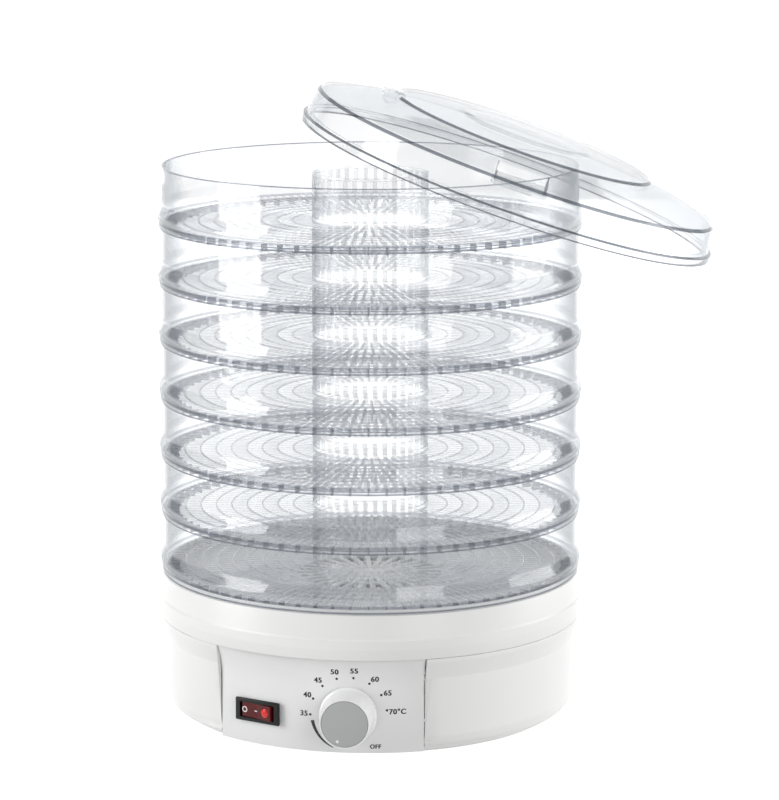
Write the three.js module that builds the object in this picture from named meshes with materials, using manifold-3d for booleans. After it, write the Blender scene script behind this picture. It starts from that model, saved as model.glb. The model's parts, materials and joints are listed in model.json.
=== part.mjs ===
// A round stacking food dehydrator: a fan-heater base, seven clear trays and a clear lid.
// Millimetres, +Z up. The stack's axis is the Z axis, the control panel faces -Y,
// and z = 0 is the table that the rubber feet stand on.

import * as THREE from 'three';
import { mergeVertices } from 'three/addons/utils/BufferGeometryUtils.js';
import Module from 'manifold-3d';

const wasm = await Module();
wasm.setup();

// ---- Driving dimensions ----

const GAP = 0.3;              // between pieces that touch
const RING_SIDES = 28;        // facets round every piece of the stack
const PAST = 5;               // how far a cutter runs past the face it opens

const SEAT_Z = 116;           // where the lowest tray sits on the base
const SEAM_Z = 77.6;          // joint between the two halves of the base
const CASING_BOTTOM_Z = 5.3;
const COVER_BOTTOM_Z = 2.9;
const COVER_TOP_Z = 5.0;
const COVER_RADIUS = 147;
const DECK_TOP_Z = 107;
const DECK_BOTTOM_Z = 104.8;

const TRAY_COUNT = 7;
const TRAY_PITCH = 44.6;
const WALL_RADIUS = 160;      // outside of a tray's upright wall
const WALL = 1.9;             // wall thickness of trays and lid
const BULGE_RADIUS = 163.5;   // outside of the band round a tray's foot
const SKIRT_RADIUS = 160.7;   // inside of the skirt that covers the rim below
const SKIRT_DROP = 3;
const FLOOR = 2.2;
const HUB_RADIUS = 45;        // outside of the central air tube of a tray
const HUB_HEIGHT = 38;

const LID_ARM = 313.2;        // from the lid's stand-in pivot to its lower edge
const LID_PIVOT_Z = 115.2;
const LID_TILT = 19.3;        // degrees that the lid is tipped as it is stored
const LID_HEADING = 10;       // degrees from +X towards which it is tipped
const GRIP_ANGLE = -75.5;     // where the lid's finger grip is, about the lid's axis
const LUG_ANGLE = -155.5;     // and its raised lug

const CASING_RADIUS = 158.8;
const FLARE_RADIUS = 163.4;   // of both casings where they meet at the seam
const PANEL_RADIUS = 156;     // outside of the curved control panel
const PANEL_THICKNESS = 2.5;
const PANEL_HALF_ANGLE = 30.5;
const PANEL_SIDES = 84;         // of the full circle that the panel is a slice of
const KNOB_ANGLE = 9.5;       // degrees from -Y towards +X
const KNOB_Z = 34.5;
const SWITCH_ANGLE = -16.9;
const SWITCH_Z = 31.3;
const GLAND_Z = 24;

const POST_RING = 130;
const POST_ANGLES = [45, 135, 225, 315];
const FOOT_RING = 112;
const FOOT_ANGLES = [20, 160, 200, 340];
const MOTOR_SCREW_X = [-16, 16];

const MATERIALS = {
  clear: { color: 0xe9eff2, roughness: 0.06, metalness: 0, transparent: true, opacity: 0.3 },
  casing: { color: 0xeceeed, roughness: 0.35, metalness: 0 },
  knobFace: { color: 0xb4b7b7, roughness: 0.45, metalness: 0 },
  black: { color: 0x151515, roughness: 0.4, metalness: 0 },
  rocker: { color: 0x5a1012, roughness: 0.25, metalness: 0 },
  lamp: { color: 0xd8201c, roughness: 0.15, metalness: 0 },
  rubber: { color: 0x2a2a2a, roughness: 0.9, metalness: 0 },
  steel: { color: 0xb9bcbe, roughness: 0.35, metalness: 1 },
  mica: { color: 0xc9b48a, roughness: 0.8, metalness: 0 },
  heater: { color: 0x8a7f78, roughness: 0.5, metalness: 1 },
  brass: { color: 0xb89a55, roughness: 0.4, metalness: 1 },
};

// ---- Shapes ----

const radians = THREE.MathUtils.degToRad;

// A ring or disc turned about Z from [radius, z] corners.
function turned(corners, sides = RING_SIDES) {
  const points = corners.map(([radius, z]) => new THREE.Vector2(radius, z));
  const onAxis = corners[0][0] === 0 && corners[corners.length - 1][0] === 0;
  if (!onAxis) points.push(points[0].clone());
  return new THREE.LatheGeometry(points, sides, Math.PI / 2).rotateX(Math.PI / 2);
}

function cylinder(radius, bottom, top, sides = 16) {
  return turned([[0, bottom], [radius, bottom], [radius, top], [0, top]], sides);
}

function tube(inner, outer, bottom, top, sides = 16) {
  return turned([[inner, bottom], [outer, bottom], [outer, top], [inner, top]], sides);
}

function box(width, depth, height, x = 0, y = 0, z = 0) {
  return new THREE.BoxGeometry(width, depth, height).translate(x, y, z);
}

// A slab with an [x, y] outline, from z = bottom to z = top.
function slab(outline, bottom, top) {
  const shape = new THREE.Shape(outline.map(([x, y]) => new THREE.Vector2(x, y)));
  const settings = { depth: top - bottom, bevelEnabled: false };
  return new THREE.ExtrudeGeometry(shape, settings).translate(0, 0, bottom);
}

function around(ring, degrees) {
  return [ring * Math.cos(radians(degrees)), ring * Math.sin(radians(degrees))];
}

// A curved slab of wall, centred on -Y.
function sector(inner, outer, halfAngle, bottom, top, steps) {
  const angles = [];
  for (let k = 0; k <= steps; k += 1) angles.push(-90 - halfAngle + (2 * halfAngle * k) / steps);
  const outside = angles.map((angle) => around(outer, angle));
  const inside = angles.reverse().map((angle) => around(inner, angle));
  return slab([...outside, ...inside], bottom, top);
}

// A round hole's cutter at each of some angles round a ring.
function holes(radius, ring, angles, bottom, top) {
  return angles.map((angle) => {
    const [x, y] = around(ring, angle);
    return cylinder(radius, bottom, top, 8).translate(x, y, 0);
  });
}

// Cutters for evenly spaced radial slots between two radii.
function radialSlots(count, inner, outer, width, bottom, top) {
  const slots = [];
  for (let k = 0; k < count; k += 1) {
    const slot = box(outer - inner, width, top - bottom, (inner + outer) / 2, 0, (top + bottom) / 2);
    slots.push(slot.rotateZ(radians((360 * (k + 0.5)) / count)));
  }
  return slots;
}

// ---- Joining and cutting ----

// A closed solid from a three.js geometry, turned right side out.
function toSolid(geometry) {
  const plain = geometry.clone();
  plain.deleteAttribute('normal');
  plain.deleteAttribute('uv');
  const merged = mergeVertices(plain, 1e-4);
  const vertProperties = Float32Array.from(merged.attributes.position.array);
  const index = merged.index.array;
  const corner = (vertex) => new THREE.Vector3().fromArray(vertProperties, 3 * vertex);
  const kept = [];
  let volume = 0;
  for (let k = 0; k < index.length; k += 3) {
    const [a, b, c] = index.slice(k, k + 3);
    if (a === b || b === c || c === a) continue;
    kept.push([a, b, c]);
    volume += corner(a).dot(corner(b).cross(corner(c)));
  }
  if (volume < 0) kept.forEach((triangle) => triangle.reverse());
  const triVerts = Uint32Array.from(kept.flat());
  return new wasm.Manifold(new wasm.Mesh({ numProp: 3, vertProperties, triVerts }));
}

function toGeometry(shape) {
  const mesh = shape.getMesh();
  const geometry = new THREE.BufferGeometry();
  const position = Float32Array.from(mesh.vertProperties);
  geometry.setAttribute('position', new THREE.BufferAttribute(position, 3));
  geometry.setIndex(new THREE.BufferAttribute(Uint32Array.from(mesh.triVerts), 1));
  return geometry;
}

function join(...geometries) {
  return toGeometry(geometries.map(toSolid).reduce((sum, piece) => sum.add(piece)));
}

function cut(geometry, ...cutters) {
  return toGeometry(cutters.map(toSolid).reduce((rest, piece) => rest.subtract(piece), toSolid(geometry)));
}

function common(first, second) {
  return toGeometry(toSolid(first).intersect(toSolid(second)));
}

// ---- Scene ----

const dehydrator = new THREE.Group();

function add(name, geometry, material, parent = dehydrator) {
  const whole = toGeometry(toSolid(geometry));
  whole.computeVertexNormals();
  const mesh = new THREE.Mesh(whole, new THREE.MeshStandardMaterial(MATERIALS[material]));
  mesh.name = name;
  parent.add(mesh);
  return mesh;
}

// A frame on the curved front: its Z points out of the panel and its Y points up.
function frontFrame(degrees, z) {
  const angle = radians(degrees);
  const right = new THREE.Vector3(Math.cos(angle), Math.sin(angle), 0);
  const up = new THREE.Vector3(0, 0, 1);
  const out = new THREE.Vector3(Math.sin(angle), -Math.cos(angle), 0);
  const frame = new THREE.Group();
  frame.quaternion.setFromRotationMatrix(new THREE.Matrix4().makeBasis(right, up, out));
  frame.position.copy(out).multiplyScalar(PANEL_RADIUS).setZ(z);
  frame.updateMatrix();
  dehydrator.add(frame);
  return frame;
}

const knobFrame = frontFrame(KNOB_ANGLE, KNOB_Z);
const switchFrame = frontFrame(SWITCH_ANGLE, SWITCH_Z);

// ---- Base: casings, panel, cover and feet ----

// Upper half: the bulging band, the rim that carries the trays, the deck with its
// outlet grille, and four posts that reach down to the cover's screws.
function upperCasing() {
  const band = turned([
    [0, DECK_TOP_Z], [WALL_RADIUS - 2, DECK_TOP_Z],
    [WALL_RADIUS - 2, SEAT_Z - GAP], [WALL_RADIUS, SEAT_Z - GAP],
    [WALL_RADIUS, 112.4], [161.9, 111.8], [164.3, 94], [164.3, 86],
    [FLARE_RADIUS, SEAM_Z + GAP], [FLARE_RADIUS - 2.6, SEAM_Z + GAP],
    [161.6, 90], [159, DECK_BOTTOM_Z], [0, DECK_BOTTOM_Z],
  ]);
  const posts = holes(5, POST_RING, POST_ANGLES, COVER_TOP_Z + GAP, DECK_BOTTOM_Z + 1);
  const bores = holes(2.4, POST_RING, POST_ANGLES, COVER_TOP_Z - PAST, 24);
  const grille = radialSlots(12, 14, 54, 6, DECK_BOTTOM_Z - PAST, DECK_TOP_Z + PAST);
  return cut(join(band, ...posts), ...bores, ...grille);
}
add('upper_casing', upperCasing(), 'casing');

// Lower half: an upright wall with a rounded foot, open at the front for the panel.
function lowerCasing() {
  const flangeRadius = 140;
  const wall = turned([
    [flangeRadius, CASING_BOTTOM_Z], [151, CASING_BOTTOM_Z], [157, 9.5],
    [CASING_RADIUS, 17], [CASING_RADIUS, 60], [FLARE_RADIUS, 75.5], [FLARE_RADIUS, SEAM_Z],
    [FLARE_RADIUS - 2.6, SEAM_Z], [156.4, 60.5], [156.4, 17.5], [150.2, 7.5],
    [flangeRadius, 7.5],
  ]);
  const front = sector(150.5, 175, PANEL_HALF_ANGLE, 0, SEAM_Z + PAST, 8);
  const glandHole = cylinder(7.2, 140, 175).rotateX(-Math.PI / 2).translate(0, 0, GLAND_Z);
  return cut(wall, front, glandHole);
}
add('lower_casing', lowerCasing(), 'casing');

// Curved panel: upright round the dial and the switch, leaning out with the casing above them.
function controlPanel() {
  const [bendZ, leanZ, topRadius] = [57, 66, 160.4];
  const leanRadius = PANEL_RADIUS + 1.4;
  const wall = turned([
    [PANEL_RADIUS, CASING_BOTTOM_Z], [PANEL_RADIUS, bendZ], [leanRadius, leanZ],
    [topRadius, SEAM_Z], [topRadius - PANEL_THICKNESS, SEAM_Z],
    [leanRadius - PANEL_THICKNESS, leanZ], [PANEL_RADIUS - PANEL_THICKNESS, bendZ],
    [PANEL_RADIUS - PANEL_THICKNESS, CASING_BOTTOM_Z],
  ], PANEL_SIDES);
  const front = sector(150, 175, PANEL_HALF_ANGLE - 0.15, 0, SEAM_Z + PAST, 14);
  const shaftHole = cylinder(5.4, -PAST, PAST).applyMatrix4(knobFrame.matrix);
  const switchHole = box(35, 14.6, 2 * PAST).applyMatrix4(switchFrame.matrix);
  return cut(common(wall, front), shaftHole, switchHole);
}
add('control_panel', controlPanel(), 'casing');

function bottomCover() {
  const [below, above] = [COVER_BOTTOM_Z - PAST, COVER_TOP_Z + PAST];
  return cut(
    cylinder(COVER_RADIUS, COVER_BOTTOM_Z, COVER_TOP_Z, RING_SIDES),
    ...radialSlots(16, 36, 92, 7, below, above),
    ...holes(2.5, POST_RING, POST_ANGLES, below, above),
    ...holes(3.4, FOOT_RING, FOOT_ANGLES, below, above),
    ...MOTOR_SCREW_X.map((x) => cylinder(2.1, below, above, 8).translate(x, 0, 0)),
  );
}
add('bottom_cover', bottomCover(), 'casing');

// A foot has a pad under the cover and a stem pressed up through it.
function foot() {
  const padTop = COVER_BOTTOM_Z - GAP;
  const stemTop = COVER_TOP_Z + 1;
  return turned([[0, 0], [9, 0], [9, padTop], [3, padTop], [3, stemTop], [0, stemTop]], 16);
}
FOOT_ANGLES.forEach((angle, k) => {
  add(`foot_${k + 1}`, foot(), 'rubber').position.set(...around(FOOT_RING, angle), 0);
});

// A round-headed screw pointing up, its head's upper face at z = 0.
function screw(headRadius, shankRadius, length) {
  return turned([
    [0, -1.4], [headRadius, -1.2], [headRadius, 0], [shankRadius, 0],
    [shankRadius, length], [0, length],
  ], 10);
}
POST_ANGLES.forEach((angle, k) => {
  const mesh = add(`cover_screw_${k + 1}`, screw(4, 1.9, 18), 'steel');
  mesh.position.set(...around(POST_RING, angle), COVER_BOTTOM_Z - GAP);
});

// ---- Base: wiring, fan and heater ----

// Cord inlet at the back: a flanged bush through the wall, with the cord's hole in it.
const glandBush = turned([
  [3.6, 146], [6.8, 146], [6.8, 159.4], [9.5, 159.4], [8.5, 163], [3.6, 163],
], 16);
add('cord_gland', glandBush.rotateX(-Math.PI / 2).translate(0, 0, GLAND_Z), 'rubber');

const TERMINAL_Y = 118;
const TERMINAL_Z = 11.3;
const terminalHoles = [-12, 0, 12].map((x) => box(6, 20, 5, x, TERMINAL_Y, TERMINAL_Z));
const terminalBody = box(36, 14, 12, 0, TERMINAL_Y, TERMINAL_Z);
add('terminal_block', cut(terminalBody, ...terminalHoles), 'casing');

const MOTOR_BOTTOM_Z = 8.3;
const MOTOR_TOP_Z = 38;
const screwPaths = MOTOR_SCREW_X.map((x) => cylinder(2.1, 0, 16, 8).translate(x, 0, 0));
const motorPad = tube(6, 30, COVER_TOP_Z + GAP, MOTOR_BOTTOM_Z - GAP, 20);
add('motor_pad', cut(motorPad, ...screwPaths), 'rubber');

const motorCan = turned([
  [0, MOTOR_BOTTOM_Z], [25, MOTOR_BOTTOM_Z], [25, 33], [10, 34], [10, MOTOR_TOP_Z],
  [0, MOTOR_TOP_Z],
], 24);
const motorBore = cylinder(2.4, 20, MOTOR_TOP_Z + PAST, 12);
add('fan_motor', cut(motorCan, motorBore, ...screwPaths), 'steel');

MOTOR_SCREW_X.forEach((x, k) => {
  const mesh = add(`motor_screw_${k + 1}`, screw(3.6, 1.7, 12), 'steel');
  mesh.position.set(x, 0, COVER_BOTTOM_Z - GAP);
});

add('motor_shaft', cylinder(2, 21, 62, 12), 'steel');

// Six pitched blades on a hub that is pressed on the motor's shaft.
const FAN_Z = 50;
function impeller() {
  const hub = cylinder(10, FAN_Z - 8, FAN_Z + 8, 18);
  const blades = [0, 60, 120, 180, 240, 300].map((angle) => (
    box(45, 20, 1.8, 30.5).rotateX(radians(32)).rotateZ(radians(angle)).translate(0, 0, FAN_Z)
  ));
  return cut(join(hub, ...blades), cylinder(2.3, FAN_Z - 20, FAN_Z + 20, 18));
}
add('fan_impeller', impeller(), 'black');

// Sheet-metal duct round the fan and the heater, hung under the deck by its flange.
const DUCT_TOP_Z = DECK_BOTTOM_Z - GAP;
const SHEET = 1.2;
const duct = turned([
  [59, 40], [59 + SHEET, 40], [59 + SHEET, DUCT_TOP_Z - SHEET], [70, DUCT_TOP_Z - SHEET],
  [70, DUCT_TOP_Z], [59, DUCT_TOP_Z],
], 24);
add('air_duct', duct, 'steel');

// The heating coil is a ring that lies in notches of a crossed mica frame.
const COIL_RADIUS = 40;
const COIL_Z = 80;
function ringCoil(thickness) {
  return new THREE.TorusGeometry(COIL_RADIUS, thickness, 8, 24).translate(0, 0, COIL_Z);
}
const cross = join(box(116, 1.4, 20, 0, 0, COIL_Z), box(1.4, 116, 20, 0, 0, COIL_Z));
add('heater_frame', cut(cross, ringCoil(4.6)), 'mica');
add('heater_coil', ringCoil(4), 'heater');

const cutoutCan = cylinder(8, 60.6, 67, 12).rotateY(Math.PI / 2).translate(0, 0, 74);
add('thermal_cutout', cutoutCan, 'steel');

// ---- Controls ----

const thermostatBody = join(box(34, 30, 20, 0, 0, -16.4), cylinder(5, -7, 3.6));
add('thermostat', cut(thermostatBody, cylinder(3.4, -18, PAST, 12)), 'brass', knobFrame);
const nut = cut(cylinder(8, GAP, 3.2, 6), cylinder(5.4, -PAST, PAST));
add('thermostat_nut', nut, 'steel', knobFrame);
add('thermostat_shaft', cylinder(3, -17, 18, 12), 'steel', knobFrame);

// Hollow-backed knob: a wide foot, a tapering grip and a recess for the face cap.
const KNOB_DEPTH = 26;
const CAP_THICKNESS = 1.6;
const KNOB_FLOOR = KNOB_DEPTH - CAP_THICKNESS - GAP;
const knobShell = turned([
  [0, 18.6], [0, KNOB_FLOOR], [17.6, KNOB_FLOOR], [17.6, KNOB_DEPTH - 0.4],
  [18.6, KNOB_DEPTH - 0.4], [19.8, 5], [21.7, 3.6], [21.7, 0.7], [19.4, 0.7],
  [16.6, 22], [5.8, 22], [5.8, 6.5], [3.3, 6.5], [3.3, 18.6],
], RING_SIDES);
add('knob', knobShell, 'casing', knobFrame);
const knobCap = cylinder(17.3, KNOB_DEPTH - CAP_THICKNESS, KNOB_DEPTH, RING_SIDES);
add('knob_cap', knobCap, 'knobFace', knobFrame);

const BEZEL = 2.8;
const switchBody = join(
  box(39, 17.5, BEZEL - GAP, 0, 0, (BEZEL + GAP) / 2),
  box(34.2, 13.8, 24, 0, 0, -11),
);
const rockerWell = box(30.6, 11.8, 14, 0, 0, BEZEL - 4);
add('switch_housing', cut(switchBody, rockerWell), 'black', switchFrame);

// The rocker is a shallow V on a rounded back. It is stored with its left half pressed.
const ROCKER_TILT = 7;
const ROCKER_PIVOT = -1;
const LENS_X = 8.5;
const rockerPivot = new THREE.Group();
rockerPivot.position.z = ROCKER_PIVOT;
rockerPivot.rotation.y = radians(-ROCKER_TILT);
switchFrame.add(rockerPivot);
const rockerSide = [
  [-14, 4.4], [0, 3.2], [14, 4.4], [13.4, -1], [6, -4.4], [-6, -4.4], [-13.4, -1],
];
const rockerBody = slab(rockerSide, -5.6, 5.6).rotateX(Math.PI / 2);
const lensPocket = cylinder(3.8, 1.6, 9, 14).translate(LENS_X, 0, 0);
add('rocker', cut(rockerBody, lensPocket), 'rocker', rockerPivot);
add('switch_lamp', cylinder(3.5, 1.9, 4.6, 14).translate(LENS_X, 0, 0), 'lamp', rockerPivot);

// ---- Trays ----

// One tray: a skirted band at its foot, an upright wall, a slotted floor and an air tube.
function tray() {
  const rim = TRAY_PITCH - GAP;
  const body = turned([
    [SKIRT_RADIUS, -SKIRT_DROP], [SKIRT_RADIUS + WALL, -SKIRT_DROP], [BULGE_RADIUS, 6],
    [WALL_RADIUS, 15.5], [WALL_RADIUS, rim],
    [WALL_RADIUS - WALL, rim], [WALL_RADIUS - WALL, 15.8], [BULGE_RADIUS - WALL, 7],
    [BULGE_RADIUS - WALL - 0.4, FLOOR],
    [HUB_RADIUS, FLOOR], [HUB_RADIUS, HUB_HEIGHT], [HUB_RADIUS - WALL, HUB_HEIGHT],
    [HUB_RADIUS - WALL, 0], [SKIRT_RADIUS, 0],
  ]);
  return cut(body, ...radialSlots(12, 58, 148, 8, -PAST, 2 * FLOOR));
}

const trayShape = tray();
for (let k = 0; k < TRAY_COUNT; k += 1) {
  add(`tray_${k + 1}`, trayShape, 'clear').position.z = SEAT_Z + k * TRAY_PITCH;
}

// ---- Lid ----

// The lid's own z = 0 is its lower edge. A ledge inside rests on the top tray's rim,
// and a pocket sunk in the slope is its finger grip.
function lid() {
  const shell = turned([
    [161, 0], [165, 0], [165, 6], [162.4, 6.6], [160.2, 25], [157, 28],
    [104, 40.5], [101, 43], [54, 45], [50, 47], [0, 47.5],
    [0, 45.4], [49.4, 45], [53.4, 43], [100, 41], [102.8, 38.6],
    [155.8, 26], [158.2, 24], [160.2, 7.3], [157, 7.3], [157, 5.3], [161, 5.3],
  ]);
  const insideSlope = turned([[0, 0], [157, 0], [157, 27.2], [104, 39.7], [0, 39.7]]);
  const gripTurn = radians(GRIP_ANGLE);
  const tub = box(25, 43, 20, 138, 0, 30.5).rotateZ(gripTurn);
  const hollow = box(21.4, 39.4, 40, 138, 0, 42.3).rotateZ(gripTurn);
  const lug = box(15, 18, 6, 106, 0, 42.2).rotateZ(radians(LUG_ANGLE));
  return cut(join(shell, common(tub, insideSlope), lug), hollow);
}

const heading = radians(LID_HEADING);
const tipAxis = new THREE.Vector3(-Math.sin(heading), Math.cos(heading), 0);
const lidPivot = new THREE.Group();
lidPivot.position.z = LID_PIVOT_Z;
lidPivot.setRotationFromAxisAngle(tipAxis, radians(LID_TILT));
dehydrator.add(lidPivot);
add('lid', lid(), 'clear', lidPivot).position.z = LID_ARM;

export default dehydrator;
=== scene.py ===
# Looks for the food dehydrator: smooth shells, clear trays and lid, printed dial, studio and camera.
# Metres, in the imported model's own frame: +Z up the stack, the panel faces -Y.

import json
import math

import bmesh
import bpy
from mathutils import Matrix, Vector


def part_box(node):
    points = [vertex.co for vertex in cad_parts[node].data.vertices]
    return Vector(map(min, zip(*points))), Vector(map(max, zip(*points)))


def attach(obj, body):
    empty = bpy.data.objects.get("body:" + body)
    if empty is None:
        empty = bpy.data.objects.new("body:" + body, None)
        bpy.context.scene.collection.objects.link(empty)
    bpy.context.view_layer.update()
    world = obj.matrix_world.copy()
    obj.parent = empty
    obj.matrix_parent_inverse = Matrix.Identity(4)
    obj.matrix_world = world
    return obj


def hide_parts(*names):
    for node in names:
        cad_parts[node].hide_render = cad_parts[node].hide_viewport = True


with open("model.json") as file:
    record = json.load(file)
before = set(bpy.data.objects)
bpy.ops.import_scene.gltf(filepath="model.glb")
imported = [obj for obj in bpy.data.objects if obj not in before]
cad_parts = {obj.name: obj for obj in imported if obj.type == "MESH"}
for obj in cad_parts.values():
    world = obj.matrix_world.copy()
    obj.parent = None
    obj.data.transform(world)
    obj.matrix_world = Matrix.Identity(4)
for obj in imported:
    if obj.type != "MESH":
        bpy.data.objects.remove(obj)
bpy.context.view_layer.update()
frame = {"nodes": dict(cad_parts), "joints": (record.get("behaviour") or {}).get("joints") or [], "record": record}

MM = 0.001
JOINTS = {joint["name"]: joint for joint in frame["joints"]}

# ---- Sizes in millimetres, as the frame has them ----

SEAT_Z = 116.0
SEAM_Z = 77.6
GAP = 0.3
TRAY_COUNT = 7
TRAY_PITCH = 44.6
WALL_RADIUS = 160.0
WALL = 1.9
BULGE_RADIUS = 163.5
SKIRT_RADIUS = 160.7
FLOOR = 2.2
HUB_RADIUS = 45.0
HUB_HEIGHT = 38.0
LID_ARM = 313.2
GRIP_ANGLE = -75.5
LUG_ANGLE = -155.5
CASING_RADIUS = 158.8
FLARE_RADIUS = 163.4
PANEL_RADIUS = 156.0
PANEL_HALF_ANGLE = 30.5
PANEL_THICKNESS = 2.5
PANEL_BEND_Z = 52.0
PANEL_LEAN = 4.4              # how far its top edge is outside its foot
KNOB_ANGLE = 9.5
KNOB_Z = 34.5
KNOB_DEPTH = 26.0
SWITCH_ANGLE = -16.9
SWITCH_Z = 31.3
DECK_TOP_Z = 107.0
DECK_BOTTOM_Z = 104.8
COVER_BOTTOM_Z = 2.9
COVER_TOP_Z = 5.0
GLAND_Z = 24.0
CHAMFER_ANGLE = 1.5           # width of the chamfer at the panel's right edge
FLUSH_ANGLE = 14.0            # over which the wall sinks to the panel at its left edge
FLUSH_DEPTH = 2.3
CHAMFER_DEPTH = 2.4
CHAMFER_TOP_Z = 61.8          # the flare above it has no chamfer
WALL_OUTSIDE = 157.5          # the wall's points beyond this radius are on its outside
WALL_STEPS = 130
POST_RING = 130.0             # the cover's screw posts stand on this radius
GLAND_BORE = 7.2

ROUND = 144                   # steps round a large ring
SHARP = math.radians(38)      # edges sharper than this stay crisp


# ---- Mesh building ----

def polar(radius, degrees):
    angle = math.radians(degrees)
    return radius * math.cos(angle), radius * math.sin(angle)


def rounded(corners, closed=True, steps=4):
    """An outline with its corners rounded. Each corner is (r, z) or (r, z, rounding radius)."""
    outline = []
    count = len(corners)
    for k, corner in enumerate(corners):
        here = Vector(corner[:2])
        radius = corner[2] if len(corner) > 2 else 0
        at_end = not closed and k in (0, count - 1)
        if radius == 0 or at_end:
            outline.append(tuple(here))
            continue
        to_last = Vector(corners[k - 1][:2]) - here
        to_next = Vector(corners[(k + 1) % count][:2]) - here
        half_angle = to_last.angle(to_next) / 2
        reach = radius / math.tan(half_angle)
        reach = min(reach, 0.48 * to_last.length, 0.48 * to_next.length)
        start = here + to_last.normalized() * reach
        end = here + to_next.normalized() * reach
        for step in range(steps + 1):
            t = step / steps
            point = start * (1 - t) ** 2 + here * 2 * t * (1 - t) + end * t ** 2
            outline.append(tuple(point))
    return outline


def sweep_outline(bm, outline, start=0.0, end=360.0, steps=ROUND, finish=None):
    """Turns a closed (r, z) outline about Z, all the way round or between two angles.

    finish gives the number of the material from the middle of each side of the outline.
    """
    whole = abs(end - start) >= 360
    rings = []
    for k in range(steps if whole else steps + 1):
        angle = start + (end - start) * k / steps
        ring = []
        for radius, z in outline:
            x, y = polar(radius * MM, angle)
            ring.append(bm.verts.new((x, y, z * MM)))
        rings.append(ring)
    count = len(outline)
    for k in range(steps):
        first, second = rings[k], rings[(k + 1) % len(rings)]
        for i in range(count):
            j = (i + 1) % count
            face = bm.faces.new((first[i], second[i], second[j], first[j]))
            if finish:
                middle = [(here + there) / 2 for here, there in zip(outline[i], outline[j])]
                face.material_index = finish(*middle)
    if not whole:
        bm.faces.new(rings[0])
        bm.faces.new(list(reversed(rings[-1])))
    return rings


def turn_profile(bm, profile, steps=ROUND):
    """Turns an open profile that starts and ends on the axis."""
    bottom = bm.verts.new((0, 0, profile[0][1] * MM))
    top = bm.verts.new((0, 0, profile[-1][1] * MM))
    rings = []
    for k in range(steps):
        ring = []
        for radius, z in profile[1:-1]:
            x, y = polar(radius * MM, 360 * k / steps)
            ring.append(bm.verts.new((x, y, z * MM)))
        rings.append(ring)
    for k in range(steps):
        first, second = rings[k], rings[(k + 1) % steps]
        bm.faces.new((bottom, second[0], first[0]))
        for i in range(len(first) - 1):
            bm.faces.new((first[i], second[i], second[i + 1], first[i + 1]))
        bm.faces.new((first[-1], second[-1], top))


def bar(bm, inner, outer, width, bottom, top, degrees, finish=0):
    """A straight radial bar with a square section."""
    turn = Matrix.Rotation(math.radians(degrees), 4, "Z")
    corners = []
    for x in (inner, outer):
        for y in (-width / 2, width / 2):
            for z in (bottom, top):
                corners.append(bm.verts.new(turn @ (Vector((x, y, z)) * MM)))
    for side in ((0, 1, 3, 2), (4, 6, 7, 5), (0, 4, 5, 1), (2, 3, 7, 6), (0, 2, 6, 4), (1, 5, 7, 3)):
        face = bm.faces.new([corners[i] for i in side])
        face.material_index = finish


def block(bm, size, centre, matrix=None, rounding=0.0):
    """A box with rounded edges, in millimetres."""
    made = bmesh.ops.create_cube(bm, size=1.0)["verts"]
    for vert in made:
        vert.co = Vector(vert.co[i] * size[i] + centre[i] for i in range(3)) * MM
    if rounding:
        edges = list(dict.fromkeys(edge for vert in made for edge in vert.link_edges))
        cut = bmesh.ops.bevel(
            bm, geom=edges, offset=rounding * MM, segments=3, profile=0.5, affect="EDGES",
        )
        made = {vert for face in cut["faces"] for vert in face.verts}
    if matrix:
        for vert in made:
            vert.co = matrix @ vert.co


def finish_mesh(name, bm, materials, matrix=None):
    """Turns the bmesh into a smooth-shaded object with one material or several."""
    bmesh.ops.recalc_face_normals(bm, faces=bm.faces)
    mesh = bpy.data.meshes.new(name)
    bm.to_mesh(mesh)
    bm.free()
    if matrix:
        mesh.transform(matrix)
    mesh.shade_smooth()
    mesh.set_sharp_from_angle(angle=SHARP)
    for material in materials if isinstance(materials, tuple) else (materials,):
        mesh.materials.append(material)
    piece = bpy.data.objects.new(name, mesh)
    bpy.context.scene.collection.objects.link(piece)
    return piece


def combine(piece, cutter, operation):
    """Cuts the cutter from the piece or joins it on, and removes the cutter."""
    modifier = piece.modifiers.new("combine", "BOOLEAN")
    modifier.operation = operation
    modifier.solver = "EXACT"
    modifier.object = cutter
    evaluated = piece.evaluated_get(bpy.context.evaluated_depsgraph_get())
    mesh = bpy.data.meshes.new_from_object(evaluated)
    piece.modifiers.clear()
    piece.data = mesh
    bpy.data.objects.remove(cutter)
    mesh.shade_smooth()
    mesh.set_sharp_from_angle(angle=SHARP)


def settle(piece, body, slot, *nodes):
    """The piece moves with a body and stands for CAD nodes, which it hides. The slot is not used."""
    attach(piece, body)
    if nodes:
        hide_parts(*nodes)


def front_frame(degrees, z):
    """The frame on the curved front: its Z points out of the panel and its Y points up."""
    angle = math.radians(degrees)
    right = Vector((math.cos(angle), math.sin(angle), 0))
    up = Vector((0, 0, 1))
    out = Vector((math.sin(angle), -math.cos(angle), 0))
    place = out * PANEL_RADIUS * MM + Vector((0, 0, z * MM))
    turn = Matrix((right, up, out)).transposed().to_4x4()
    return Matrix.Translation(place) @ turn


KNOB_FRAME = front_frame(KNOB_ANGLE, KNOB_Z)
SWITCH_FRAME = front_frame(SWITCH_ANGLE, SWITCH_Z)


# ---- Materials ----

def new_material(name):
    material = bpy.data.materials.new(name)
    material.use_nodes = True
    tree = material.node_tree
    tree.nodes.clear()
    output = tree.nodes.new("ShaderNodeOutputMaterial")
    return material, tree, output


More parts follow.
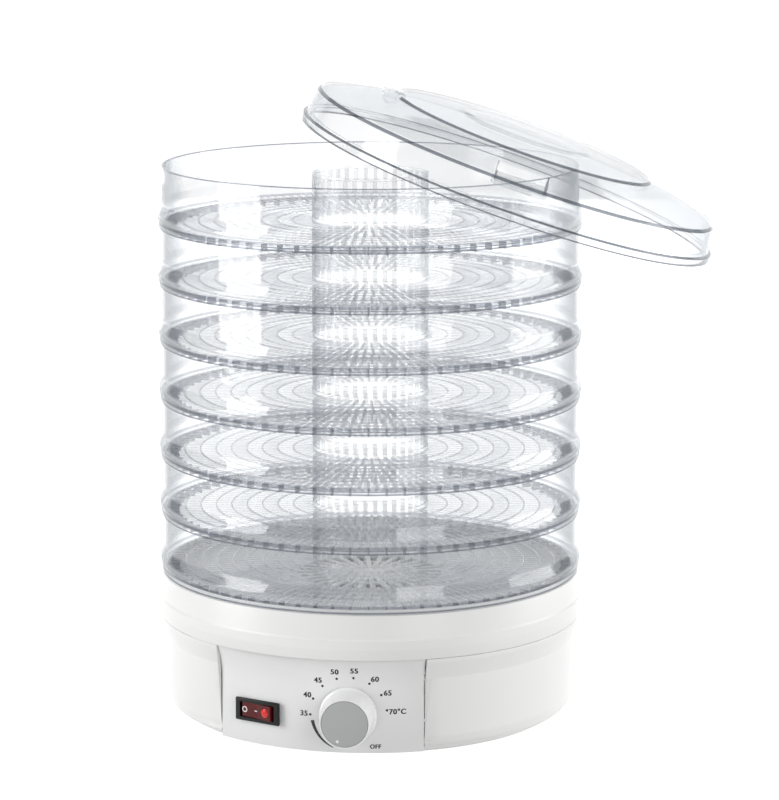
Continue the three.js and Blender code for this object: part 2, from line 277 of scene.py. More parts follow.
def noise(tree, scale, detail=3.0, distortion=0.0):
    """Noise in the object's own coordinates, in cycles per metre."""
    place = tree.nodes.new("ShaderNodeTexCoord")
    texture = tree.nodes.new("ShaderNodeTexNoise")
    texture.inputs["Scale"].default_value = scale
    texture.inputs["Detail"].default_value = detail
    texture.inputs["Distortion"].default_value = distortion
    tree.links.new(place.outputs["Object"], texture.inputs["Vector"])
    return texture.outputs["Fac"]


def ranged(tree, value, low, high, from_low=0.3, from_high=0.7):
    """Maps a noise value to low..high."""
    node = tree.nodes.new("ShaderNodeMapRange")
    node.inputs["From Min"].default_value = from_low
    node.inputs["From Max"].default_value = from_high
    node.inputs["To Min"].default_value = low
    node.inputs["To Max"].default_value = high
    tree.links.new(value, node.inputs["Value"])
    return node.outputs["Result"]


def blended(tree, value, first, second):
    """A colour between two, by a value."""
    node = tree.nodes.new("ShaderNodeMix")
    node.data_type = "RGBA"
    node.inputs["A"].default_value = (*first, 1)
    node.inputs["B"].default_value = (*second, 1)
    tree.links.new(value, node.inputs["Factor"])
    return node.outputs["Result"]


def bumped(tree, height, distance, strength=1.0):
    node = tree.nodes.new("ShaderNodeBump")
    node.inputs["Strength"].default_value = strength
    node.inputs["Distance"].default_value = distance
    tree.links.new(height, node.inputs["Height"])
    return node.outputs["Normal"]


def moulded(name, first, second, rough=(0.3, 0.4), grain=0.00004, scale=900, coat=0.0, metal=0.0,
            gleam=0.5):
    """Moulded plastic, rubber or metal: mottled colour, uneven gloss and a fine surface grain."""
    material, tree, output = new_material(name)
    shader = tree.nodes.new("ShaderNodeBsdfPrincipled")
    shader.inputs["Metallic"].default_value = metal
    shader.inputs["Specular IOR Level"].default_value = gleam
    shader.inputs["Coat Weight"].default_value = coat
    shader.inputs["Coat Roughness"].default_value = 0.12
    tone = ranged(tree, noise(tree, 14, 4), 0, 1)
    tree.links.new(blended(tree, tone, first, second), shader.inputs["Base Color"])
    gloss = ranged(tree, noise(tree, 75, 5), *rough)
    tree.links.new(gloss, shader.inputs["Roughness"])
    surface = bumped(tree, noise(tree, scale, 2), grain)
    tree.links.new(surface, shader.inputs["Normal"])
    tree.links.new(shader.outputs["BSDF"], output.inputs["Surface"])
    return material


def powered(tree, value, exponent):
    node = tree.nodes.new("ShaderNodeMath")
    node.operation = "POWER"
    node.inputs[1].default_value = exponent
    tree.links.new(value, node.inputs[0])
    return node.outputs["Value"]


def clear_plastic(name, facing, grazing, haze):
    """Thin clear plastic: see-through face on, greyer edge on, with a gloss that ripples slightly."""
    material, tree, output = new_material(name)
    ripple = bumped(tree, noise(tree, 26, 2), 0.0012)

    angle = tree.nodes.new("ShaderNodeLayerWeight")
    angle.inputs["Blend"].default_value = 0.5
    edge = ranged(tree, angle.outputs["Facing"], 0, 1, 0.55, 0.99)
    passing = tree.nodes.new("ShaderNodeBsdfTransparent")
    tree.links.new(blended(tree, edge, facing, grazing), passing.inputs["Color"])

    body = tree.nodes.new("ShaderNodeBsdfPrincipled")
    body.inputs["Base Color"].default_value = (0.80, 0.84, 0.88, 1)
    body.inputs["IOR"].default_value = 1.5
    tree.links.new(ranged(tree, noise(tree, 140, 5), 0.10, 0.22), body.inputs["Roughness"])
    hazy = tree.nodes.new("ShaderNodeMixShader")
    tree.links.new(ranged(tree, noise(tree, 9, 4), haze * 0.7, haze * 1.3), hazy.inputs["Fac"])
    tree.links.new(passing.outputs["BSDF"], hazy.inputs[1])
    tree.links.new(body.outputs["BSDF"], hazy.inputs[2])

    mirror = ranged(tree, powered(tree, angle.outputs["Facing"], 5), 0.04, 0.8, 0, 1)
    gloss = tree.nodes.new("ShaderNodeBsdfGlossy")
    tree.links.new(ranged(tree, noise(tree, 60, 4), 0.02, 0.09), gloss.inputs["Roughness"])
    tree.links.new(ripple, gloss.inputs["Normal"])
    surface = tree.nodes.new("ShaderNodeMixShader")
    tree.links.new(mirror, surface.inputs["Fac"])
    tree.links.new(hazy.outputs["Shader"], surface.inputs[1])
    tree.links.new(gloss.outputs["BSDF"], surface.inputs[2])
    tree.links.new(surface.outputs["Shader"], output.inputs["Surface"])
    return material


WHITE = moulded("white_plastic", (0.860, 0.860, 0.852), (0.874, 0.874, 0.866), (0.30, 0.35), 0.00001)
PANEL_WHITE = moulded("panel_white", (0.835, 0.84, 0.835), (0.850, 0.855, 0.850), (0.38, 0.42), 0.00001)
KNOB_WHITE = moulded("knob_white", (0.86, 0.86, 0.86), (0.90, 0.90, 0.90), (0.18, 0.26), 0.00001, coat=0.3)
KNOB_GREY = moulded("knob_grey", (0.41, 0.42, 0.42), (0.45, 0.46, 0.46), (0.42, 0.52), 0.00002, 1600)
BLACK = moulded("black_plastic", (0.008, 0.008, 0.009), (0.013, 0.013, 0.014), (0.3, 0.4), gleam=0.22)
ROCKER_RED = moulded("rocker_red", (0.09, 0.003, 0.004), (0.13, 0.005, 0.006), (0.2, 0.3), gleam=0.25)
LAMP_RED = moulded("lamp_red", (0.70, 0.012, 0.010), (0.84, 0.03, 0.02), (0.08, 0.14), gleam=0.4)
INK = moulded("dial_ink", (0.012, 0.012, 0.012), (0.02, 0.02, 0.02), (0.5, 0.6))
MARK = moulded("white_mark", (0.82, 0.82, 0.80), (0.9, 0.9, 0.88), (0.4, 0.5))
RUBBER = moulded("rubber", (0.022, 0.022, 0.022), (0.035, 0.035, 0.034), (0.7, 0.85), 0.0001, 500)
STEEL = moulded("steel", (0.50, 0.51, 0.52), (0.60, 0.61, 0.62), (0.25, 0.4), 0.00003, 700, metal=1.0)
SHEET = moulded("duct_sheet", (0.58, 0.59, 0.60), (0.70, 0.71, 0.72), (0.3, 0.5), 0.00005, 300, metal=1.0)
MICA = moulded("mica", (0.45, 0.36, 0.20), (0.62, 0.52, 0.33), (0.5, 0.75), 0.0001, 350)
WIRE = moulded("heating_wire", (0.18, 0.16, 0.15), (0.34, 0.30, 0.28), (0.35, 0.6), 0.0001, 900, metal=1.0)
BRASS = moulded("thermostat_body", (0.45, 0.32, 0.13), (0.58, 0.43, 0.2), (0.3, 0.45), metal=1.0)
CLEAR = clear_plastic("clear_plastic", (0.984, 0.985, 0.986), (0.60, 0.63, 0.66), 0.035)
CLEAR_FLOOR = clear_plastic("clear_floor", (0.945, 0.947, 0.952), (0.66, 0.68, 0.71), 0.11)
# Painted shade: a darker clear plastic for tray rims, feet, floor edges and locating fins, dark lines painted
# where refraction shades the edges of clear plastic.
CLEAR_PAINTED_SHADE = clear_plastic("clear_painted_shade", (0.56, 0.58, 0.62), (0.18, 0.20, 0.23), 0.05)
CLEAR_LID = clear_plastic("clear_lid", (0.980, 0.982, 0.984), (0.74, 0.77, 0.80), 0.09)
# Painted shade: a much darker clear plastic for the lid's lip, corner, ring step and grip ends, dark lines painted
# where refraction shades them.
LID_PAINTED_SHADE = clear_plastic("lid_painted_shade", (0.26, 0.28, 0.31), (0.08, 0.09, 0.10), 0.03)
TRAY_CLEAR = (CLEAR, CLEAR_FLOOR, CLEAR_PAINTED_SHADE)
LID_CLEAR = (CLEAR_LID, LID_PAINTED_SHADE)

CAD_FINISHES = {
    "steel": STEEL,
    "duct_sheet": SHEET,
    "mica": MICA,
    "heating_wire": WIRE,
    "thermostat_body": BRASS,
    "black_plastic": BLACK,
    "white_plastic": WHITE,
    "rubber": RUBBER,
    "rocker_red": ROCKER_RED,
    "lamp_red": LAMP_RED,
    "knob_face": KNOB_GREY,
    "clear_plastic": CLEAR,
}


def finish_cad_nodes():
    """Every CAD node gets its slot's procedural finish."""
    for part in frame["record"]["subparts"]:
        node = frame["nodes"][part["node"]]
        for slot in node.material_slots:
            slot.material = CAD_FINISHES[part["material_slot"]]


# ---- Base ----

def slotted_disc(bm, slots, inner, outer, edge, bottom, top, bar_share=0.55):
    """A flat disc that is open between two radii but for radial bars and one cross ring."""
    hub = rounded([(0, bottom), (inner, bottom, 0.4), (inner, top, 0.4), (0, top)], closed=False)
    turn_profile(bm, hub, 72)
    middle = (inner + outer) / 2
    for low, high in ((outer, edge), (middle - 1.5, middle + 1.5)):
        ring = [(low, bottom, 0.3), (high, bottom, 0.5), (high, top, 0.5), (low, top, 0.3)]
        sweep_outline(bm, rounded(ring, steps=2))
    width = 2 * math.pi * middle / slots * bar_share
    for k in range(slots):
        bar(bm, inner - 0.5, outer + 0.5, width, bottom + 0.1, top - 0.1, 360 * k / slots)


def upper_casing():
    bm = bmesh.new()
    band = [
        (158, DECK_BOTTOM_Z), (158, SEAT_Z - GAP, 0.6), (WALL_RADIUS, SEAT_Z - GAP, 0.6),
        (WALL_RADIUS, 112.4, 0.4), (161.9, 111.8, 1.0), (163.5, 94.2, 1.5), (164.3, 93.0, 0.5),
        (164.3, 86, 6), (FLARE_RADIUS, SEAM_Z + GAP, 0.5), (160.8, SEAM_Z + GAP, 0.3), (161.4, 90),
        (159, DECK_BOTTOM_Z),
    ]
    sweep_outline(bm, rounded(band))
    slotted_disc(bm, 30, 14, 56, 158.4, DECK_BOTTOM_Z, DECK_TOP_Z)
    for degrees in (45, 135, 225, 315):
        foot = COVER_TOP_Z + GAP
        post = [(2.4, foot), (5, foot, 0.4), (5, DECK_BOTTOM_Z), (2.4, DECK_BOTTOM_Z)]
        rings = sweep_outline(bm, rounded(post, steps=2), steps=24)
        x, y = polar(POST_RING * MM, degrees)
        for vert in (vert for ring in rings for vert in ring):
            vert.co += Vector((x, y, 0))
    settle(finish_mesh("upper_casing_shell", bm, WHITE), "base", "white_plastic", "upper_casing")


def draw_in(vert, depth):
    """Moves a point of the wall's outside towards the axis, by millimetres."""
    radius = vert.co.xy.length
    if radius > WALL_OUTSIDE * MM:
        vert.co.x *= 1 - depth * MM / radius
        vert.co.y *= 1 - depth * MM / radius


def lower_casing():
    """The wall ends flush with the panel on its left and in a broad chamfer on its right."""
    bm = bmesh.new()
    wall = rounded([
        (148.5, 5.3), (151, 5.3, 2), (157, 9.5, 6), (CASING_RADIUS, 17, 8), (CASING_RADIUS, 61.7, 1.2),
        (163.0, 74.5, 3), (FLARE_RADIUS, SEAM_Z, 0.4), (160.8, SEAM_Z, 0.3), (156.4, 60.5, 1),
        (156.4, 17.5, 3), (150.2, 7.5, 1), (148.5, 7.5),
    ])
    wall_outside = [radius > WALL_OUTSIDE for radius, z in wall]
    first = -90 + PANEL_HALF_ANGLE
    last = first + 360 - 2 * PANEL_HALF_ANGLE
    rings = sweep_outline(bm, wall, first, last, WALL_STEPS)
    step = (last - first) / WALL_STEPS
    for k, ring in enumerate(rings):
        away = (WALL_STEPS - k) * step
        sink = FLUSH_DEPTH * max(0, 1 - away / FLUSH_ANGLE) ** 2
        for vert in ring:
            draw_in(vert, sink)
    turn_back = Matrix.Rotation(math.radians(CHAMFER_ANGLE - step), 4, "Z")
    for vert in rings[1]:
        vert.co = turn_back @ vert.co
    for vert in rings[0]:
        if vert.co.z < CHAMFER_TOP_Z * MM:
            draw_in(vert, CHAMFER_DEPTH)
    end = []
    for i, vert in enumerate(rings[-1]):
        other = rings[-1][(i + 1) % len(wall)]
        if wall_outside[i] and min(vert.co.xy.length, other.co.xy.length) > 155.5 * MM:
            end.append(bm.edges.get((vert, other)))
    bmesh.ops.bevel(bm, geom=end, offset=0.6 * MM, segments=4, profile=0.5, affect="EDGES")
    flange = [(140, 5.3, 0.4), (149, 5.3), (149, 7.5), (140, 7.5, 0.4)]
    sweep_outline(bm, rounded(flange, steps=2))
    piece = finish_mesh("lower_casing_shell", bm, WHITE)
    bore = bmesh.new()
    around = Matrix.Translation((0, 150 * MM, GLAND_Z * MM)) @ Matrix.Rotation(math.pi / 2, 4, "X")
    bmesh.ops.create_cone(
        bore, cap_ends=True, segments=48, radius1=GLAND_BORE * MM, radius2=GLAND_BORE * MM,
        depth=40 * MM, matrix=around,
    )
    combine(piece, finish_mesh("gland_bore", bore, WHITE), "DIFFERENCE")
    settle(piece, "base", "white_plastic", "lower_casing")


def panel_radius(z):
    """Outside of the panel at a height: upright, then leaning out towards its top edge."""
    lean = max(0, (z - PANEL_BEND_Z) / (SEAM_Z - PANEL_BEND_Z))
    return PANEL_RADIUS + PANEL_LEAN * lean ** 2


def control_panel():
    bm = bmesh.new()
    heights = [COVER_TOP_Z + GAP, PANEL_BEND_Z]
    heights += [PANEL_BEND_Z + (SEAM_Z - PANEL_BEND_Z) * k / 10 for k in range(1, 11)]
    outside = [(panel_radius(z), z, 0.4) for z in heights]
    inside = [(panel_radius(z) - PANEL_THICKNESS, z) for z in reversed(heights)]
    plate = rounded(outside + inside, steps=2)
    half = PANEL_HALF_ANGLE - 0.15
    sweep_outline(bm, plate, -90 - half, -90 + half, 60)
    piece = finish_mesh("control_panel_plate", bm, PANEL_WHITE)
    for matrix, size in ((SWITCH_FRAME, (35, 14.6, 12)), (KNOB_FRAME, (10.8, 10.8, 12))):
        hole = bmesh.new()
        block(hole, size, (0, 0, 0), matrix, 0.6)
        combine(piece, finish_mesh("panel_hole", hole, PANEL_WHITE), "DIFFERENCE")
    settle(piece, "base", "white_plastic", "control_panel")


def bottom_cover():
    bm = bmesh.new()
    slotted_disc(bm, 40, 34, 92, 147, COVER_BOTTOM_Z, COVER_TOP_Z, 0.5)
    settle(finish_mesh("bottom_cover_plate", bm, WHITE), "base", "white_plastic", "bottom_cover")


def feet():
    profile = rounded([
        (0, 0), (9, 0, 0.8), (9, COVER_BOTTOM_Z - GAP, 0.5), (3, COVER_BOTTOM_Z - GAP),
        (3, COVER_TOP_Z + 1, 0.5), (0, COVER_TOP_Z + 1),
    ], closed=False)
    for k in range(4):
        bm = bmesh.new()
        turn_profile(bm, profile, 48)
        for groove in (4.5, 6.5):
            ring = [(groove, 0), (groove + 0.8, 0), (groove + 0.4, 0.25)]
            sweep_outline(bm, ring, steps=48)
        low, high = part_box(f"foot_{k + 1}")
        place = Matrix.Translation(((low[0] + high[0]) / 2, (low[1] + high[1]) / 2, 0))
        settle(finish_mesh(f"foot_{k + 1}_pad", bm, RUBBER, place), "base", "rubber", f"foot_{k + 1}")


def cord_gland():
    bm = bmesh.new()
    outline = [(3.6, 146), (6.8, 146, 0.4), (6.8, 159.4), (9.5, 159.4, 0.6), (9.2, 160.8, 0.6)]
    for step in range(3):
        z = 160.9 + 0.65 * step
        outline += [(7.6 - 0.4 * step, z), (7.9 - 0.4 * step, z + 0.35)]
    outline += [(6.6, 163.0, 0.4), (3.6, 163.0, 0.4)]
    sweep_outline(bm, rounded(outline, steps=3), steps=48)
    place = Matrix.Translation((0, 0, GLAND_Z * MM)) @ Matrix.Rotation(-math.pi / 2, 4, "X")
    settle(finish_mesh("cord_gland_bush", bm, RUBBER, place), "base", "rubber", "cord_gland")


# ---- Dial ----

DOT_RING = 29.0
LABEL_GAP = 4.9               # from each dot to the middle of its number
LABEL_LEAN = 24.0             # numbers on the right sit lower, beside their dots
FIRST_ANGLE = 268.0           # clockwise from the top, where the scale starts
LAST_ANGLE = 442.5
OFF_ANGLE = 140.0
POINTER_ANGLE = 202.0
STROKE_SHIFTS = (-0.16, 0.16)  # each label is printed twice, which makes its strokes bolder
LABEL_SIZE = 5.6
OFF_RING = 31.5
OFF_SIZE = 4.4
INK_DEPTH = 0.07


def on_panel(x, y, lift):
    """A point on the panel's outer face, x round it and y up from the dial's centre."""
    angle = math.radians(KNOB_ANGLE) + x / PANEL_RADIUS
    radius = (panel_radius(KNOB_Z + y) + lift) * MM
    return Vector((radius * math.sin(angle), -radius * math.cos(angle), (KNOB_Z + y) * MM))


def clockwise(ring, degrees):
    angle = math.radians(degrees)
    return ring * math.sin(angle), ring * math.cos(angle)


def label(text, x, y, size):
    """Printed characters, bent to the panel."""
    curve = bpy.data.curves.new("dial_text", "FONT")
    curve.body = text
    curve.size = size
    curve.align_x = "CENTER"
    curve.align_y = "CENTER"
    curve.offset = 0.1
    curve.space_character = 1.12
    curve.extrude = 0.04
    holder = bpy.data.objects.new("dial_text", curve)
    bpy.context.scene.collection.objects.link(holder)
    evaluated = holder.evaluated_get(bpy.context.evaluated_depsgraph_get())
    mesh = bpy.data.meshes.new_from_object(evaluated)
    for vert in mesh.vertices:
        vert.co = on_panel(x + vert.co.x, y + vert.co.y, 0.03 + vert.co.z)
    bpy.data.objects.remove(holder)
    return mesh


def dot(bm, x, y, radius):
    """A printed dot, bent to the panel."""
    count = 20
    rings = []
    for lift in (0.0, INK_DEPTH):
        ring = []
        for k in range(count):
            dx, dy = polar(radius, 360 * k / count)
            ring.append(bm.verts.new(on_panel(x + dx, y + dy, lift)))
        rings.append(ring)
    bm.faces.new(rings[1])
    bm.faces.new(list(reversed(rings[0])))
    for k in range(count):
        j = (k + 1) % count
        bm.faces.new((rings[0][k], rings[0][j], rings[1][j], rings[1][k]))


def warming_arc(bm, ring, start, end, width):
    """The tapering arc that grows from the pointer's side towards the scale."""
    steps = 36
    rows = []
    for k in range(steps + 1):
        t = k / steps
        angle = start + (end - start) * t
        half = width / 2 * (0.12 + 0.88 * t ** 0.7)
        row = []
        for radius in (ring - half, ring + half):
            for lift in (0.0, INK_DEPTH):
                row.append(bm.verts.new(on_panel(*clockwise(radius, angle), lift)))
        rows.append(row)
    for first, second in zip(rows, rows[1:]):
        for i, j in ((0, 1), (1, 3), (3, 2), (2, 0)):
            bm.faces.new((first[i], first[j], second[j], second[i]))
    for row in (rows[0], rows[-1]):
        bm.faces.new((row[0], row[1], row[3], row[2]))


def dial_print():
    bm = bmesh.new()
    temperatures = range(35, 75, 5)
    step = (LAST_ANGLE - FIRST_ANGLE) / (len(temperatures) - 1)
    for k, degrees in enumerate(temperatures):
        angle = FIRST_ANGLE + step * k
        dot(bm, *clockwise(DOT_RING, angle), 0.95)
        on_the_right = math.sin(math.radians(angle)) > 0.3
        away_x, away_y = clockwise(LABEL_GAP, angle + (LABEL_LEAN if on_the_right else 0))
        x, y = clockwise(DOT_RING, angle)
        x += away_x
        y += away_y + 0.6
        text = str(degrees)
        if degrees == 70:
            text = "70°C"
            x += 3.2
            y -= 0.6
        for shift in STROKE_SHIFTS:
            bm.from_mesh(label(text, x + shift, y, LABEL_SIZE))
    x, y = clockwise(OFF_RING, OFF_ANGLE)
    for shift in STROKE_SHIFTS:
        bm.from_mesh(label("OFF", x + shift, y, OFF_SIZE))
    warming_arc(bm, 27.8, 204, 259, 2.6)
    settle(finish_mesh("dial_print", bm, INK), "base", "black_plastic")


def knob():
    bm = bmesh.new()
    profile = [
        (0, 18.6), (3.3, 18.6), (3.3, 6.5), (5.8, 6.5), (5.8, 22), (16.6, 22), (19.4, 0.7),
        (21.7, 0.7, 0.4), (21.7, 3.2, 0.9), (20.2, 4.4, 0.7), (18.6, KNOB_DEPTH - 0.1, 1.4),
        (17.6, KNOB_DEPTH - 0.4, 0.3), (17.6, KNOB_DEPTH - 1.9), (0, KNOB_DEPTH - 1.9),
    ]
    turn_profile(bm, rounded(profile, closed=False, steps=5), 96)
    settle(finish_mesh("knob_grip", bm, KNOB_WHITE, KNOB_FRAME), "dial", "white_plastic", "knob")

    bm = bmesh.new()
    face = [
        (0, KNOB_DEPTH - 1.6), (17.3, KNOB_DEPTH - 1.6), (17.3, KNOB_DEPTH - 0.35, 0.5),
        (9, KNOB_DEPTH - 0.06, 8), (0, KNOB_DEPTH),
    ]
    turn_profile(bm, rounded(face, closed=False, steps=5), 96)
    settle(finish_mesh("knob_face_disc", bm, KNOB_GREY, KNOB_FRAME), "dial", "knob_face", "knob_cap")

    bm = bmesh.new()
    profile = [(0, 0), (1.15, 0), (1.15, 0.3, 0.2), (0, 0.38)]
    turn_profile(bm, rounded(profile, closed=False), 32)
    x, y = clockwise(14.2, POINTER_ANGLE)
    place = KNOB_FRAME @ Matrix.Translation(Vector((x, y, KNOB_DEPTH - 0.35)) * MM)
    settle(finish_mesh("knob_pointer", bm, MARK, place), "dial", "white_plastic")


# ---- Switch ----

BEZEL = 2.8
ROCKER_TILT = 7.0
OFF_MARK_X = -11.0            # along the rocker, from its middle
LAMP_X = 8.5
ROCKER_FRAME = (
    SWITCH_FRAME @ Matrix.Translation((0, 0, -1 * MM)) @ Matrix.Rotation(math.radians(-ROCKER_TILT), 4, "Y")
)


def switch_housing():
    bm = bmesh.new()
    block(bm, (39, 17.5, BEZEL - GAP), (0, 0, (BEZEL + GAP) / 2), SWITCH_FRAME, 0.9)
    piece = finish_mesh("switch_bezel", bm, BLACK)
    bm = bmesh.new()
    block(bm, (34.2, 13.8, 24), (0, 0, -11), SWITCH_FRAME, 0.5)
    combine(piece, finish_mesh("switch_body", bm, BLACK), "UNION")
    bm = bmesh.new()
    block(bm, (30.6, 11.8, 14), (0, 0, BEZEL - 4), SWITCH_FRAME, 0.5)
    combine(piece, finish_mesh("rocker_well", bm, BLACK), "DIFFERENCE")
    settle(piece, "base", "black_plastic", "switch_housing")


def rocker_height(x):
    """Height of the rocker's shallow V at x."""
    return 3.2 + 1.2 * abs(x) / 14


def rocker():
    """The rocker's side is a rounded V, drawn in x and height, and given its width along y."""
    outline = rounded([
        (-14, 4.4, 0.8), (0, 3.2, 12), (14, 4.4, 0.8), (13.4, -1, 2), (6, -4.4, 3), (-6, -4.4, 3),
        (-13.4, -1, 2),
    ], steps=6)
    bm = bmesh.new()
    sides = []
    for y in (-5.6, 5.6):
        sides.append([bm.verts.new((x * MM, y * MM, z * MM)) for x, z in outline])
    bm.faces.new(sides[0])
    bm.faces.new(list(reversed(sides[1])))
    for i in range(len(outline)):
        j = (i + 1) % len(outline)
        bm.faces.new((sides[0][i], sides[1][i], sides[1][j], sides[0][j]))
    rims = [edge for edge in bm.edges if abs(edge.verts[0].co.y - edge.verts[1].co.y) < 1e-9]
    bmesh.ops.bevel(bm, geom=rims, offset=0.4 * MM, segments=3, profile=0.5, affect="EDGES")
    piece = finish_mesh("rocker_button", bm, ROCKER_RED, ROCKER_FRAME)
    settle(piece, "rocker", "rocker_red", "rocker")

    bm = bmesh.new()
    lens = [(0, 2.2), (3.5, 2.2), (3.5, 4.2, 0.6), (2.2, 4.9, 2), (0, 5.1)]
    turn_profile(bm, rounded(lens, closed=False, steps=5), 48)
    place = ROCKER_FRAME @ Matrix.Translation((LAMP_X * MM, 0, 0))
    settle(finish_mesh("switch_lamp_lens", bm, LAMP_RED, place), "rocker", "lamp_red", "switch_lamp")

    bm = bmesh.new()
    ring = [(1.5, 0), (2.3, 0), (2.3, 0.12, 0.05), (1.5, 0.12, 0.05)]
    circle = sweep_outline(bm, rounded(ring), steps=40)
    for vert in (vert for row in circle for vert in row):
        x = vert.co.x / MM + OFF_MARK_X
        vert.co += Vector((OFF_MARK_X, 0, rocker_height(x) + 0.02)) * MM
    block(bm, (2.4, 0.8, 0.14), (-0.6, 0, rocker_height(0.6) + 0.24))
    settle(finish_mesh("rocker_marks", bm, MARK, ROCKER_FRAME), "rocker", "rocker_red")


# ---- Trays ----

RIB_ZONES = ((HUB_RADIUS, 72, 54), (72, 96, 84), (96, 132, 112), (132, 156, 144))
FLOOR_RINGS = (60, 72, 84, 96, 108, 120, 132, 144)
LOCATING_FINS = 72
COMB_TEETH = 36
ON_WALL, ON_FLOOR, ON_PAINTED_SHADE = 0, 1, 2


def tray_finish(radius, z):
    """Rim, foot and floor edge get painted darker lines: painted shade for the dark lines that refraction draws at
    the edges of clear plastic.
    """
    rim = z > TRAY_PITCH - GAP - 0.9
    foot = z < -1.6
    floor_edge = radius > 161 and 1.0 < z < 3.2
    return ON_PAINTED_SHADE if rim or foot or floor_edge else ON_WALL


def tray_shell(bm):
    rim = TRAY_PITCH - GAP
    sweep_outline(bm, rounded([
        (SKIRT_RADIUS, -3, 0.5), (162.4, -3, 0.7), (162.5, -1.5), (162.9, 1.0), (163.1, 3.0),
        (BULGE_RADIUS, 5.5, 3), (BULGE_RADIUS, 8, 5), (WALL_RADIUS, 15.5, 6), (WALL_RADIUS, rim - 0.9),
        (WALL_RADIUS, rim, 0.5), (WALL_RADIUS - WALL, rim, 0.5), (WALL_RADIUS - WALL, rim - 0.9),
        (WALL_RADIUS - WALL, 15.8, 6), (161.6, 8, 3), (161.2, FLOOR), (155.5, FLOOR), (155.5, 0, 0.4),
        (SKIRT_RADIUS, 0, 0.3),
    ]), finish=tray_finish)


def tray_floor(bm):
    """Fine rings joined by radial slats, with more slats in each zone further out."""
    for radius in FLOOR_RINGS:
        low, high = 0.9, FLOOR - 0.4
        ring = [(radius - 0.6, low), (radius + 0.6, low), (radius + 0.6, high), (radius - 0.6, high)]
        sweep_outline(bm, ring, steps=72, finish=lambda radius, z: ON_FLOOR)
    for inner, outer, count in RIB_ZONES:
        for k in range(count):
            bar(bm, inner, outer, 2.0, 0.5, FLOOR - 0.2, 360 * k / count, ON_FLOOR)
    # The locating fins take the painted-shade clear plastic as well.
    for k in range(LOCATING_FINS):
        bar(bm, 149, 156.6, 1.0, -4.5, 0.6, 360 * k / LOCATING_FINS, ON_PAINTED_SHADE)


def tray_hub(bm):
    """The air tube: plain bands joined by a comb of short bars at its foot and its top."""
    inner = HUB_RADIUS - WALL
    for low, high in ((0, 4), (12, 27), (35.5, HUB_HEIGHT)):
        band = [(inner, low, 0.3), (HUB_RADIUS, low, 0.3), (HUB_RADIUS, high, 0.3), (inner, high, 0.3)]
        sweep_outline(bm, rounded(band, steps=2), steps=96)
    for k in range(COMB_TEETH):
        for low, high in ((3.8, 12.2), (26.8, 35.7)):
            bar(bm, inner + 0.1, HUB_RADIUS - 0.1, 3.2, low, high, 360 * k / COMB_TEETH, ON_FLOOR)


def trays():
    bm = bmesh.new()
    tray_shell(bm)
    tray_floor(bm)
    tray_hub(bm)
    first = finish_mesh("tray_1_clear", bm, TRAY_CLEAR)
    for k in range(TRAY_COUNT):
        piece = first if k == 0 else bpy.data.objects.new(f"tray_{k + 1}_clear", first.data)
        if k:
            bpy.context.scene.collection.objects.link(piece)
        piece.location.z = (SEAT_Z + k * TRAY_PITCH) * MM
        bpy.context.view_layer.update()
        settle(piece, f"tray_{k + 1}", "clear_plastic", f"tray_{k + 1}")


# ---- Lid ----

def lid_place():
    """From the lid's own frame, where z = 0 is its lower edge, to where it is stored."""
    swing = JOINTS["lid_swing"]
    tilt = Matrix.Rotation(math.radians(-swing["range_deg"][0]), 4, Vector(swing["axis"]))
    return Matrix.Translation(swing["pos_m"]) @ tilt @ Matrix.Translation((0, 0, LID_ARM * MM))


def lid_finish(radius, z):
    """The lip, the corner where the side meets the sloping plate and the ring step get painted darker lines:
    painted shade for how refraction darkens them.
    """
    lip = (5.2 < z < 6.7 or z < 0.6) and radius > 161
    corner = 25.0 < z < 27.2 and radius > 157.8
    ring = 41.2 < z < 42.3 and 101 < radius < 103
    return 1 if lip or corner or ring else 0


def lid():
    bm = bmesh.new()
    outer = [
        (161, 0, 0.5), (165, 0, 0.8), (165, 6, 0.8), (162.4, 6.6, 0.5), (160.2, 25, 4), (157, 28, 4),
        (104, 40.5, 2), (101, 43, 2), (54, 45, 3), (50, 47, 3),
    ]
    inner = [
        (49.4, 45, 3), (53.4, 43, 3), (100, 41, 2), (102.8, 38.6, 2), (155.8, 26, 3), (158.2, 24, 3),
        (160.2, 7.3, 0.3), (157, 7.3, 0.4), (157, 5.3, 0.4), (161, 5.3, 0.2),
    ]
    outline = rounded(outer + [(0.4, 47.5), (0.4, 45.4)] + inner, steps=5)
    sweep_outline(bm, outline, finish=lid_finish)
    piece = finish_mesh("lid_clear", bm, LID_CLEAR)

    turn = Matrix.Rotation(math.radians(GRIP_ANGLE), 4, "Z")
    slope = Matrix.Rotation(math.atan2(12.5, 53), 4, "Y")
    on_slope = turn @ Matrix.Translation(Vector((138, 0, 31)) * MM) @ slope
    tub = bmesh.new()
    block(tub, (25, 43, 10.5), (0, 0, -4.1), on_slope, 2.4)
    combine(piece, finish_mesh("grip_tub", tub, LID_CLEAR), "UNION")
    hollow = bmesh.new()
    block(hollow, (21.4, 39.4, 30), (0, 0, 7.4), on_slope, 2.0)
    # Painted shade: the hollow's two end faces take the lid's painted-shade plastic, a dark shade painted at the
    # grip's ends.
    along = on_slope.to_3x3() @ Vector((0, 1, 0))
    for face in hollow.faces:
        face.normal_update()
        face.material_index = 1 if abs(face.normal.dot(along)) > 0.3 else 0
    combine(piece, finish_mesh("grip_hollow", hollow, LID_CLEAR), "DIFFERENCE")
    lug = bmesh.new()
    lug_turn = Matrix.Rotation(math.radians(LUG_ANGLE), 4, "Z")
    block(lug, (15, 18, 6), (106, 0, 42.2), lug_turn, 1.4)
    combine(piece, finish_mesh("lid_lug", lug, LID_CLEAR), "UNION")
    piece.data.transform(lid_place())
    settle(piece, "lid", "clear_plastic", "lid")


# ---- Studio ----

CAMERA_AZIMUTH = 15.5
CAMERA_DISTANCE = 2.5846
CAMERA_HEIGHT = 0.725
CAMERA_PITCH = 10.55
CAMERA_LENS = 152.4
FLOOR_RADIUS = 20.0


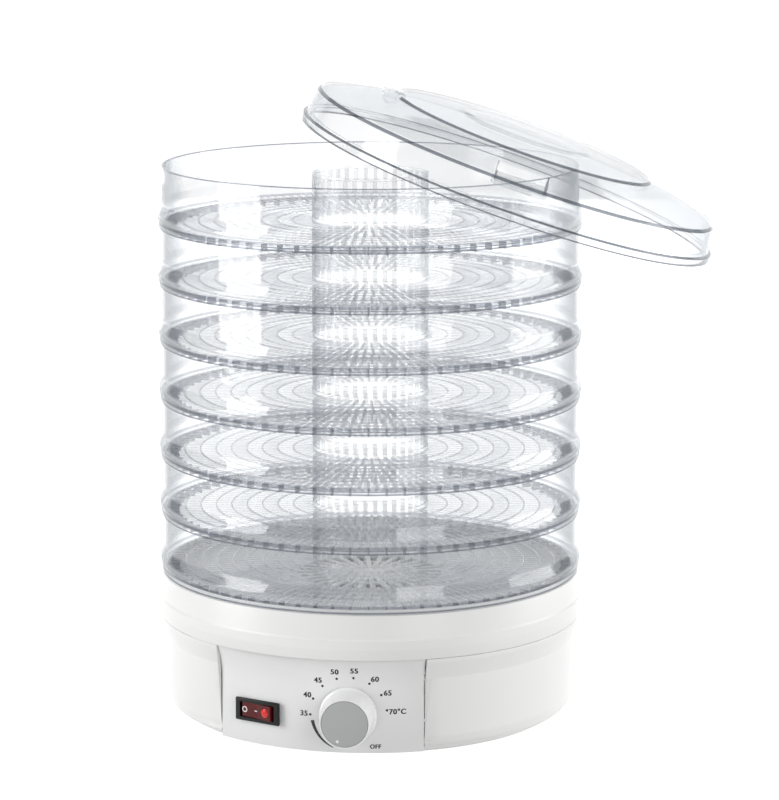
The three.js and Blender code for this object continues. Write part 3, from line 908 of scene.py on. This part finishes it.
def camera():
    data = bpy.data.cameras.new("camera")
    data.lens = CAMERA_LENS
    data.sensor_width = 36
    data.shift_x = 0.024
    item = bpy.data.objects.new("camera", data)
    azimuth = math.radians(CAMERA_AZIMUTH)
    item.location = (
        CAMERA_DISTANCE * math.sin(azimuth), -CAMERA_DISTANCE * math.cos(azimuth), CAMERA_HEIGHT,
    )
    item.rotation_euler = (math.radians(90 - CAMERA_PITCH), 0, azimuth)
    bpy.context.scene.collection.objects.link(item)
    bpy.context.scene.camera = item


def softbox(name, azimuth, distance, width, height, power):
    """An upright rectangular lamp, its azimuth counted from the camera's towards the right."""
    data = bpy.data.lights.new(name, "AREA")
    data.shape = "RECTANGLE"
    data.size = width
    data.size_y = height
    data.energy = power
    item = bpy.data.objects.new(name, data)
    angle = math.radians(CAMERA_AZIMUTH + azimuth)
    item.location = (
        distance * math.sin(angle), -distance * math.cos(angle), height / 2 + 0.02,
    )
    item.rotation_euler = (math.radians(90), 0, angle)
    item.visible_camera = False
    bpy.context.scene.collection.objects.link(item)


def studio():
    softbox("left_strip", -74, 1.9, 0.85, 1.7, 25)
    softbox("right_strip", 28, 2.3, 1.1, 1.7, 18)
    softbox("right_side", 100, 2.6, 1.6, 1.7, 31)
    softbox("back_wall", 180, 3.2, 5.0, 2.2, 38)

    world = bpy.data.worlds.new("studio")
    world.use_nodes = True
    world.node_tree.nodes["Background"].inputs["Color"].default_value = (1, 1, 1, 1)
    world.node_tree.nodes["Background"].inputs["Strength"].default_value = 0.41
    bpy.context.scene.world = world

    bm = bmesh.new()
    bmesh.ops.create_circle(bm, cap_ends=True, segments=96, radius=FLOOR_RADIUS)
    paper = moulded("studio_floor", (0.90, 0.90, 0.90), (0.92, 0.92, 0.92), (0.8, 0.9), 0.00001, 40)
    shader = paper.node_tree.nodes["Principled BSDF"]
    shader.inputs["Emission Color"].default_value = (1, 1, 1, 1)
    shader.inputs["Emission Strength"].default_value = 0.74
    floor = finish_mesh("studio_floor", bm, paper, Matrix.Translation((0, 0, -0.0002)))
    floor.visible_diffuse = False


def look():
    scene = bpy.context.scene
    scene.cycles.transparent_max_bounces = 64
    scene.cycles.max_bounces = 12
    scene.view_settings.view_transform = "Standard"
    scene.view_settings.look = "None"
    scene.view_settings.exposure = 0.0


camera()
studio()
look()
finish_cad_nodes()
upper_casing()
lower_casing()
control_panel()
bottom_cover()
feet()
cord_gland()
dial_print()
knob()
switch_housing()
rocker()
trays()
lid()

bpy.context.view_layer.update()
